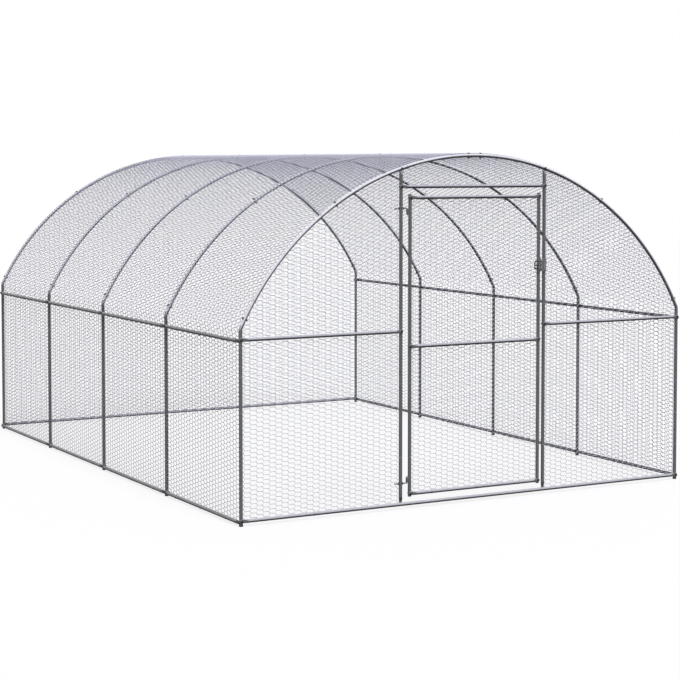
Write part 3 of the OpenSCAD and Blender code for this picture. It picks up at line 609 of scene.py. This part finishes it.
stileX = [sum(corner.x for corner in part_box(f"door_stile_{side}")) / 2 for side in ("hinge", "latch")]
doorRailZ = [sum(corner.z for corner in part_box(f"door_rail_{level}")) / 2
             for level in ("bottom", "middle", "top")]
doorSeats = [[x, frontFace, z] for x in stileX for z in doorRailZ]
fasten("door", [(doorSeats, [[0, -1, 0]] * 6, endGrip)], "door")

# Washers that stand in for the missing under-rail at the last posts
spacer = {"margin": 0.001, "hole": 0.00275, "edge": 0.0003}
half = rail["flat"]
outer, inner, edge = headRadius + spacer["margin"], spacer["hole"], spacer["edge"]
spacerSeats = [[sign * (halfWidth + tubeRadius + half), archYs[-1], z]
               for sign in (-1, 1) for z in (run["baseHeight"], run["eaveHeight"])]
washers = turned(spacerSeats, [[1, 0, 0]] * 4, [
    (-half, outer - edge, 1), (-half + edge, outer, 1), (half - edge, outer, 1), (half, outer - edge, 1),
    (half, inner, 1), (-half, inner, 1)], sides=tubeSides, looped=True)
metalPiece("spacerWashers", [washers], "darkZinc", "frame", "spacer_washers")

# Caps under the posts and plugs in the stiles
rounding = 0.3    # height of the middle of a rounded rim, as a share of the rim
cap = {"radius": 0.01125, "height": 0.012, "edge": 0.0012, "mouthEdge": 0.0006, "mouthIn": 0.00072}
feet = [[sign * halfWidth, y, 0.0] for sign in (-1, 1) for y in archYs]
edge = cap["edge"]
caps = turned(feet, [[0, 0, 1]] * len(feet), [
    (0, cap["radius"] - edge, 1), (rounding * edge, cap["radius"] - rounding * edge, 1),
    (edge, cap["radius"], 1), (cap["height"] - cap["mouthEdge"], cap["radius"], 1),
    (cap["height"], cap["radius"] - cap["mouthIn"], 1)], sides=tubeSides)
meshPiece("footCaps", [caps], material["capPlastic"], "frame", "end_cap", "foot_caps", crease=softCrease)

plug = {"rim": 0.002, "length": 0.005, "radius": 0.0087, "edge": 0.0007}
stileLow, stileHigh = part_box("stile_plugs")
plugEnds = [[x, frontY, z] for x in stileX for z in (stileLow.z, stileHigh.z)]
edge = plug["edge"]
plugs = turned(plugEnds, [[0, 0, 1], [0, 0, -1]] * 2, [
    (0, tubeRadius - 2 * edge, 1), (rounding * edge, tubeRadius - edge, 1), (edge, tubeRadius, 1),
    (plug["rim"], tubeRadius, 1), (plug["rim"], plug["radius"], 1),
    (plug["rim"] + plug["length"], plug["radius"], 1)], sides=tubeSides)
meshPiece("stilePlugs", [plugs], material["capPlastic"], "door", "end_cap", "stile_plugs", crease=softCrease)
print("fasteners, caps and plugs made")

# Hook bolts of the hinges with their nuts, and the sleeves on the door that turn on them
hinge = {
    "rod": 0.004,
    "bend": 0.0042,
    "tail": 0.030,
    "pin": 0.0383,
    "nutFlats": 0.013,
    "nut": 0.006,
    "nutShare": 0.85,      # faces of a nut, as a share of its radius
    "nutEdge": 0.001,
    "sleeveRadius": 0.007,
    "bore": 0.00406,
    "sleeve": 0.028,
    "edge": 0.0006,
    "webWide": 0.0028,     # half sizes of the web between a sleeve and its stile
    "webThick": 0.0035,
    "webSquare": 8.0,
    "webSink": 0.004,      # the web is midway between the bore and this depth in the stile
}
hingeX = stileX[0] - tubeRadius - hinge["sleeveRadius"]
sleeveLow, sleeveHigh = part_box("hinge_sleeves")
hookLow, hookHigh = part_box("hinge_hooks")
hooks = [(hookLow.z + hinge["rod"], 1), (hookHigh.z - hinge["rod"], -1)]
tailX = -run["doorPostX"] - tubeRadius - hinge["tail"]


def hookRod(z, way):
    # Level shank, a quarter turn and the pin: x and z of the path, then its slope from the turn's angle
    turn = np.linspace(0, np.pi / 2, turnRings)
    bend, edge = hinge["bend"], hinge["edge"]
    x = np.concatenate([[tailX, tailX + edge], hingeX - bend + bend * np.sin(turn), [hingeX] * 2])
    up = np.concatenate([[0, 0], bend - bend * np.cos(turn), [hinge["pin"] - edge, hinge["pin"]]])
    slope = np.concatenate([[0, 0], turn, [np.pi / 2] * 2])
    centres = np.stack([x, 0 * x + frontY, z + way * up], -1)
    tangents = np.stack([np.cos(slope), 0 * x, way * np.sin(slope)], -1)
    radii = np.full(len(x), hinge["rod"])
    radii[[0, -1]] -= edge
    return sweep(centres, tangents, flatY, radii, radii, sides=rodSides)


metalPiece("hingeHooks", [hookRod(*hook) for hook in hooks], "plateZinc", "frame", "hinge_hooks")
nutRadius = hinge["nutFlats"] / 2 / math.cos(math.pi / 6)
nutFoot = [[x, frontY, z] for z, way in hooks
           for x in (-run["doorPostX"] - tubeRadius - hinge["nut"], -run["doorPostX"] + tubeRadius)]
nutFace, nutEdge, nutTop = hinge["nutShare"] * nutRadius, hinge["nutEdge"], hinge["nut"]
hookNuts = turned(nutFoot, [[1, 0, 0]] * 4, [
    (0, nutFace, 1), (nutEdge, nutRadius, 0), (nutTop - nutEdge, nutRadius, 0), (nutTop, nutFace, 1)])
metalPiece("hingeNuts", [hookNuts], "darkZinc", "frame", "hinge_nuts")

outer, inner, edge, long = hinge["sleeveRadius"], hinge["bore"], hinge["edge"], hinge["sleeve"]
sleeveFeet = [[hingeX, frontY, sleeveLow.z], [hingeX, frontY, sleeveHigh.z - long]]
sleeves = [turned(sleeveFeet, [[0, 0, 1]] * 2, [
    (0, outer - edge, 1), (edge, outer, 1), (long - edge, outer, 1), (long, outer - edge, 1),
    (long, inner, 1), (0, inner, 1)], sides=tubeSides, looped=True)]
webX = (hingeX + inner + stileX[0] - tubeRadius + hinge["webSink"]) / 2
for foot in sleeveFeet:
    z = foot[2] + np.array([0, edge, long - edge, long])
    centres = np.stack([0 * z + webX, 0 * z + frontY, z], -1)
    shrink = np.array([edge, 0, 0, edge])
    sleeves.append(sweep(centres, [[0, 0, 1]], flatY, hinge["webWide"] - shrink / 2,
                         hinge["webThick"] - shrink, hinge["webSquare"]))
metalPiece("hingeSleeves", sleeves, "galvanisedTube", "door", "hinge_sleeves")

# Latch fork: a rod bent twice, and the middle prong that meets its upright bar
fork = {"rod": 0.0035, "bend": 0.007, "edge": 0.0006}
forkLow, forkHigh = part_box("latch_fork")


def forkRods():
    # Tip, quarter turn, bar, quarter turn and tip, with the path's slope from the turns' angles
    rod, bend, edge = fork["rod"], fork["bend"], fork["edge"]
    barX, tipX = forkLow.x + rod, forkHigh.x
    y, topZ, lowZ = (forkLow.y + forkHigh.y) / 2, forkHigh.z - rod, forkLow.z + rod
    turn = np.linspace(0, np.pi / 2, turnRings)
    x = np.concatenate([[tipX, tipX - edge], barX + bend - bend * np.sin(turn)])
    z = np.concatenate([[topZ, topZ], topZ - bend + bend * np.cos(turn)])
    slope = np.concatenate([[0, 0], turn])
    way = np.stack([-np.cos(slope), 0 * slope, -np.sin(slope)], -1)
    centres = np.stack([x, 0 * x + y, z], -1)
    lower = centres[::-1] * [1, 1, -1] + [0, 0, topZ + lowZ]
    lowerWay = way[::-1] * [-1, 1, 1]
    radii = np.full(2 * len(x), rod)
    radii[[0, -1]] -= edge
    centres, way = np.concatenate([centres, lower]), np.concatenate([way, lowerWay])
    bent = sweep(centres, way, flatY, radii, radii, sides=rodSides)
    x = np.array([barX, tipX - edge, tipX])
    middle = np.stack([x, 0 * x + y, 0 * x + (topZ + lowZ) / 2], -1)
    radii = np.array([rod, rod, rod - edge])
    return [bent, sweep(middle, [[1, 0, 0]], flatY, radii, radii, sides=rodSides)]


metalPiece("latchFork", forkRods(), "darkZinc", "latch", "latch_fork")
print("hinges and latch made")

# Netting of twisted wire: s runs along the roll, t across it and n out of it
netting = {
    "column": 0.03795,     # distance between two columns of twists
    "row": 0.025,          # width of a mesh
    "twist": 0.028,        # length of a twist
    "wireRadius": 0.00120,
    "roofWireRadius": 0.00130,
    "overArch": 0.0012,    # height of the roof's netting above the arches
    "beside": 0.3,         # sideways reach of a twist, in wire radii
    "edgeRadius": 0.0012,
    "edgeStep": 0.04,
    "roundness": 1.21,     # a three-sided wire is drawn this much wider, to look as thick as a round one
    "hideInTube": 0.006,   # depth to which a cut wire reaches into its tube
    "lean": 0.050,         # height over which the side netting leans out to the roof's
    "clear": 1.0,          # distance from the arch that is taken below its ends
    "rearShare": 0.55,     # share of the rear wall's wires in its lower piece
}


def sweptWires(s, t, n, radius, inside, place):
    # Rows of knots become three-sided wires. A knot outside the panel slides along its segment to the panel's
    # edge, where the signed distance is zero, and segments with both ends outside are left out. Each ring of
    # points is square to the wire: cos(a) across it within the sheet and sin(a) out of the sheet.
    room = inside(s, t)
    isIn = room >= 0
    leftIn = np.pad(isIn[:, :-1], ((0, 0), (1, 0)))
    rightIn = np.pad(isIn[:, 1:], ((0, 0), (0, 1)))
    fromLeft = ~isIn & leftIn
    fromRight = ~isIn & ~leftIn & rightIn
    shape = []
    for knots in (s, t, n):
        moved = knots.copy()
        for chosen, shift in ((fromLeft, 1), (fromRight, -1)):
            start = np.roll(knots, shift, 1)
            startRoom = np.roll(room, shift, 1)
            share = startRoom / np.where(chosen, startRoom - room, 1)
            moved = np.where(chosen, start + share * (knots - start), moved)
        shape.append(moved)
    s, t, n = shape
    kept = isIn[:, :-1] | isIn[:, 1:]
    alongS, alongT = np.gradient(s, axis=1), np.gradient(t, axis=1)
    length = np.maximum(np.hypot(alongS, alongT), np.finfo(float).tiny)
    around = (np.pi / 2 + np.arange(3) * 2 * np.pi / 3)[None, None, :]
    reach = radius * netting["roundness"]
    ringS = s[..., None] - reach * np.cos(around) * (alongT / length)[..., None]
    ringT = t[..., None] + reach * np.cos(around) * (alongS / length)[..., None]
    ringN = n[..., None] + reach * np.sin(around)
    points = np.stack(place(ringS, ringT, ringN), -1).reshape(-1, 3)
    first = 3 * np.arange(s.size).reshape(s.shape)
    before = np.pad(kept, ((0, 0), (1, 0)))
    after = np.pad(kept, ((0, 0), (0, 1)))
    a = first[:, :-1][kept]
    b = first[:, 1:][kept]
    quads = np.concatenate([np.stack([a + j, a + k, b + k, b + j], 1) for j, k in ((0, 1), (1, 2), (2, 0))])
    starts = first[after & ~before]
    ends = first[before & ~after]
    caps = np.concatenate([starts[:, None] + [2, 1, 0], ends[:, None] + [0, 1, 2]])
    used = np.repeat((before | after).ravel(), 3)
    renumber = np.cumsum(used) - 1
    return points[used], [renumber[quads], renumber[caps]]


def weave(start, end, height, inside, place, fromShare=0.0, toShare=1.0, radius=netting["wireRadius"]):
    # Wire m keeps to the level (m + 1/2) * row / 2 and swings a quarter row up or down at each column of
    # twists, so that it meets its upper and its lower neighbour in turn. In a twist it goes once round its
    # neighbour: the three knots of a twist lie before, beside and behind it. Columns are counted from s = 0,
    # so that panels run on.
    rows = max(round(height / netting["row"]), 1)
    row = height / rows
    wire = np.arange(round(2 * rows * fromShare), round(2 * rows * toShare))[:, None]
    column = np.arange(math.floor(start / netting["column"]), math.ceil(end / netting["column"]) + 1)[None, :]
    swing = 1.0 - 2 * ((wire + column) % 2)
    level = (wire + 0.5) * row / 2 + swing * row / 4
    middle = column * netting["column"] + 0 * level
    half = netting["twist"] / 2
    s = np.stack([middle - half, middle, middle + half], 2).reshape(len(wire), -1)
    aside = swing * radius * netting["beside"]
    t = np.stack([level - aside, level + aside, level - aside], 2).reshape(len(wire), -1)
    n = np.stack([swing * radius, 0 * swing, -swing * radius], 2).reshape(len(wire), -1)
    return sweptWires(s, t, n, radius, inside, place)


def edgeWires(start, end, levels, inside, place):
    # Straight selvedge wires along the roll at the given levels
    steps = max(math.ceil((end - start) / netting["edgeStep"]), 1)
    s = np.repeat(np.linspace(start, end, steps + 1)[None, :], len(levels), 0)
    t = np.repeat(np.array(levels, float)[:, None], steps + 1, 1)
    return sweptWires(s, t, 0 * s, netting["edgeRadius"], inside, place)


def netPiece(name, parts, body, *replaced):
    triangles = meshPiece(name, parts, material["netWire"], body, "net_wire", *replaced)
    print(name, triangles, "triangles")


def between(start, end):
    # Signed distance from the two ends of a panel
    return lambda s, t: np.minimum(s - start, end - s)


runLength = -2 * frontY
roofRadius = archRadius + tubeRadius + netting["overArch"]
eaveZ = archZ + roofRadius * math.sin(eaveAngle)
eaveOut = roofRadius * math.cos(eaveAngle) - halfWidth
sideHeight = eaveZ - run["baseHeight"]
for side, sign in (("left", -1), ("right", 1)):
    def onSide(s, t, n, sign=sign):
        # The last centimetres under the roof lean out by a smooth step
        x = halfWidth + eaveOut * smoothStep(np.clip((t - sideHeight) / netting["lean"] + 1, 0, 1))
        return sign * x + n, frontY + s, run["baseHeight"] + t
    within = between(0, runLength)
    parts = [weave(0, runLength, sideHeight, within, onSide), edgeWires(0, runLength, [0], within, onSide)]
    netPiece(f"sideNetting.{side}", parts, "frame", f"side_net_{side}")


def onRoof(s, t, n):
    # The length t is wound on the roof's radius as an angle, and n adds to that radius
    angle = eaveAngle + t / roofRadius
    return (roofRadius + n) * np.cos(angle), frontY + s, archZ + (roofRadius + n) * np.sin(angle)


archSpan = roofRadius * (math.pi - 2 * eaveAngle)
for bay in range(run["bays"]):
    start, end = bay * bayLength, (bay + 1) * bayLength
    parts = [weave(start, end, archSpan, between(start, end), onRoof, radius=netting["roofWireRadius"])]
    netPiece(f"roofNetting.{bay + 1}", parts, "frame", *(["roof_net"] if bay == 0 else []))


def underArch(left, right, base):
    # Signed distance into an end wall: between two uprights and inside the arch's centre line
    def inside(s, t):
        x, z = left + s, base + t
        arch = archRadius - np.hypot(x, np.maximum(z - archZ, 0))
        return np.minimum(np.minimum(s, right - x), np.where(z > run["bendHeight"], arch, netting["clear"]))
    return inside


def onEnd(x0, y0, z0):
    return lambda s, t, n: (x0 + s, y0 - n, z0 + t)


rearShare = netting["rearShare"]
# Left and right ends, place along the run, lower edge, first and last share of the wires, and nodes replaced
endWalls = {
    "rearNetting.lower": (-halfWidth, halfWidth, -frontY, endBase, 0.0, rearShare, ["rear_net"]),
    "rearNetting.upper": (-halfWidth, halfWidth, -frontY, endBase, rearShare, 1.0, []),
    "frontNetting.left": (-halfWidth, -run["doorPostX"], frontY, endBase, 0.0, 1.0, ["front_net_left"]),
    "frontNetting.right": (run["doorPostX"], halfWidth, frontY, endBase, 0.0, 1.0, ["front_net_right"]),
    "frontNetting.top": (-run["doorPostX"], run["doorPostX"], frontY, run["headerHeight"], 0.0, 1.0,
                         ["front_net_top"]),
}
for name, (left, right, y, base, low, high, replaced) in endWalls.items():
    height = run["apexHeight"] - base
    within = underArch(left, right, base)
    parts = [weave(0, right - left, height, within, onEnd(left, y, base), low, high)]
    if low == 0:
        parts.append(edgeWires(0, right - left, [0], within, onEnd(left, y, base)))
    netPiece(name, parts, "frame", *replaced)

doorLow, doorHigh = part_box("door_net")
doorSpan = doorHigh.x - doorLow.x + 2 * netting["hideInTube"]
doorHeight = doorHigh.z - doorLow.z
within = between(0, doorSpan)
onDoor = onEnd(doorLow.x - netting["hideInTube"], frontY, doorLow.z)
parts = [weave(0, doorSpan, doorHeight, within, onDoor),
         edgeWires(0, doorSpan, [0, doorHeight], within, onDoor)]
netPiece("doorNetting", parts, "door", "door_net")
print("netting woven")

# Binding wire: ties of two turns with a twisted tail, where the netting meets a tube
tie = {
    "wire": 0.0006,
    "tail": 0.007,
    "tailShare": 1.5,                      # thickness of the tail and of its tip, in thicknesses of the wire
    "tipShare": 0.8,
    "spacing": 0.30,                       # along arches and rails
    "postShares": (0.2, 0.4, 0.6, 0.8),    # heights on the side posts, between base and eave
    "doorShares": (0.25, 0.75),            # heights on door posts and stiles, within each field of the door
}


def tieParts(places):
    # Places are rows of centre, way along the tube and way to the inside. A turn is a ring of four-sided wire
    # about the tube, and the tail is a short rod on its inner side.
    centres, along, inward = np.array(places, float).transpose(1, 0, 2)
    wire, reach = tie["wire"], tubeRadius + tie["wire"]
    thick = tie["tailShare"] * wire
    section = [(-wire, reach, 1), (0, reach + wire, 1), (wire, reach, 1), (0, reach - wire, 1)]
    parts = [turned(centres + shift * along, along, section, sides=tubeSides, looped=True)
             for shift in (-wire, wire)]
    parts.append(turned(centres + reach * inward, inward, [
        (0, thick, 1), (tie["tail"] - wire, thick, 1), (tie["tail"], tie["tipShare"] * wire, 1)], sides=6))
    return parts


def evenly(start, end):
    # Middles of equal stretches of about the ties' spacing
    steps = max(round((end - start) / tie["spacing"]), 1)
    return start + (np.arange(steps) + 0.5) / steps * (end - start)


def railTies(node, inside):
    # Places along the middle of a rail that lies across the run
    low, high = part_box(node)
    y, z = (low.y + high.y) / 2, (low.z + high.z) / 2
    return [((x, y, z), (1, 0, 0), (0, inside, 0)) for x in evenly(low.x, high.x)]


upright = (0, 0, 1)
frameTies = []
for sign in (-1, 1):
    for share in tie["postShares"]:
        z = run["baseHeight"] + share * (run["eaveHeight"] - run["baseHeight"])
        frameTies += [((sign * halfWidth, y, z), upright, (-sign, 0, 0)) for y in archYs]
    for bay in range(run["bays"]):
        x = sign * (halfWidth + rail["out"] + rail["lap"] * (bay % 2))
        frameTies += [((x, y, z), (0, 1, 0), (-sign, 0, 0)) for z in (run["baseHeight"], run["eaveHeight"])
                      for y in evenly(archYs[bay], archYs[bay + 1])]
for angle in evenly(archRadius * archStart, archRadius * (math.pi - archStart)) / archRadius:
    cos, sin = math.cos(angle), math.sin(angle)
    frameTies += [((archRadius * cos, y, archZ + archRadius * sin), (-sin, 0, cos), (-cos, 0, -sin))
                  for y in archYs]
frameTies += [place for place in railTies("front_base_rail", 1) if abs(place[0][0]) > run["doorPostX"]]
frameTies += railTies("rear_base_rail", -1) + railTies("door_header", 1)
frameTies += railTies("front_eave_rail_left", 1) + railTies("front_eave_rail_right", 1)
fieldZ = [low + share * (high - low)
          for low, high in zip(doorRailZ, doorRailZ[1:]) for share in tie["doorShares"]]
frameTies += [((sign * run["doorPostX"], frontY, z), upright, (0, 1, 0)) for sign in (-1, 1) for z in fieldZ]
doorTies = [((x, frontY, z), upright, (0, 1, 0)) for x in stileX for z in fieldZ]
doorTies += [place for level in ("top", "middle", "bottom") for place in railTies(f"door_rail_{level}", 1)]
for body, places in (("frame", frameTies), ("door", doorTies)):
    parts = tieParts(places)
    meshPiece(f"netTies.{body}", parts, material["galvanisedTube"], body, "net_wire", crease=softCrease)
print("ties:", len(frameTies) + len(doorTies))

# One broad lamp from the front and above, a grey surround, and white where the background is seen or mirrored
light = {
    "lampColor": (0.92, 0.92, 1.0),
    "lampStrength": 2.4,
    "lampAngle": 30,
    "lampTilt": 31,        # degrees from straight down
    "lampTurn": -12,       # degrees about the upright
    "lampHeight": 4,
    "surround": (0.30, 0.30, 0.31),
}


def makeLamp():
    data = bpy.data.lights.new("overhead", "SUN")
    data.color = light["lampColor"]
    data.energy = light["lampStrength"]
    data.angle = math.radians(light["lampAngle"])
    lamp = bpy.data.objects.new("overhead", data)
    lamp.location = (0, 0, light["lampHeight"])
    lamp.rotation_euler = (math.radians(light["lampTilt"]), 0, math.radians(light["lampTurn"]))
    bpy.context.scene.collection.objects.link(lamp)


def seenDirectly(tree):
    # One for a ray from the camera, a mirrored ray or a ray that goes through
    rays = tree.nodes.new("ShaderNodeLightPath")
    seen = tree.nodes.new("ShaderNodeMath")
    seen.operation = "MAXIMUM"
    either = tree.nodes.new("ShaderNodeMath")
    either.operation = "MAXIMUM"
    tree.links.new(rays.outputs["Is Camera Ray"], seen.inputs[0])
    tree.links.new(rays.outputs["Is Glossy Ray"], seen.inputs[1])
    tree.links.new(seen.outputs[0], either.inputs[0])
    tree.links.new(rays.outputs["Is Transmission Ray"], either.inputs[1])
    return either.outputs[0]


def makeWorld():
    world = bpy.data.worlds.new("softStudio")
    world.use_nodes = True
    bpy.context.scene.world = world
    tree = world.node_tree
    tree.nodes.clear()
    dim = tree.nodes.new("ShaderNodeBackground")
    dim.inputs["Color"].default_value = (*light["surround"], 1)
    white = tree.nodes.new("ShaderNodeBackground")
    white.inputs["Color"].default_value = (1, 1, 1, 1)
    chosen = tree.nodes.new("ShaderNodeMixShader")
    result = tree.nodes.new("ShaderNodeOutputWorld")
    tree.links.new(seenDirectly(tree), chosen.inputs[0])
    tree.links.new(dim.outputs[0], chosen.inputs[1])
    tree.links.new(white.outputs[0], chosen.inputs[2])
    tree.links.new(chosen.outputs[0], result.inputs["Surface"])


# Pale floor: white where it is seen, with the shadow of the run kept, and dim as a source of light from below
ground = {"size": 60.0, "glow": 0.80, "paint": 0.22, "dim": 0.25}


def makeFloor():
    half = ground["size"] / 2
    corners = np.array([[-1, -1, 0], [1, -1, 0], [1, 1, 0], [-1, 1, 0]]) * half
    mesh = bpy.data.meshes.new("floor")
    mesh.from_pydata(corners.tolist(), [], [(0, 1, 2, 3)])
    floor = bpy.data.objects.new("floor", mesh)
    bpy.context.scene.collection.objects.link(floor)
    paint = bpy.data.materials.new("floorPaint")
    paint.use_nodes = True
    tree = paint.node_tree
    tree.nodes.clear()
    matte = tree.nodes.new("ShaderNodeBsdfDiffuse")
    matte.inputs["Color"].default_value = (*[ground["paint"]] * 3, 1)
    glow = tree.nodes.new("ShaderNodeEmission")
    glow.inputs["Color"].default_value = (*[ground["glow"]] * 3, 1)
    both = tree.nodes.new("ShaderNodeAddShader")
    dim = tree.nodes.new("ShaderNodeBsdfDiffuse")
    dim.inputs["Color"].default_value = (*[ground["dim"]] * 3, 1)
    chosen = tree.nodes.new("ShaderNodeMixShader")
    result = tree.nodes.new("ShaderNodeOutputMaterial")
    tree.links.new(matte.outputs[0], both.inputs[0])
    tree.links.new(glow.outputs[0], both.inputs[1])
    tree.links.new(seenDirectly(tree), chosen.inputs[0])
    tree.links.new(dim.outputs[0], chosen.inputs[1])
    tree.links.new(both.outputs[0], chosen.inputs[2])
    tree.links.new(chosen.outputs[0], result.inputs["Surface"])
    mesh.materials.append(paint)


# Standing eye level from the front left, turned from the run's length
eye = {
    "place": (-5.524, -10.403, 1.939),
    "turn": 28.941,
    "pitch": -3.129,
    "lens": 93.43,
    "shiftY": -0.119,
}


def makeCamera():
    data = bpy.data.cameras.new("eye")
    data.lens = eye["lens"]
    data.shift_y = eye["shiftY"]
    camera = bpy.data.objects.new("eye", data)
    camera.location = eye["place"]
    camera.rotation_euler = (math.radians(90 + eye["pitch"]), 0, math.radians(-eye["turn"]))
    bpy.context.scene.collection.objects.link(camera)
    bpy.context.scene.camera = camera


makeLamp()
makeWorld()
makeFloor()
makeCamera()
bpy.context.scene.view_settings.view_transform = "Standard"
print("light, floor and camera set")
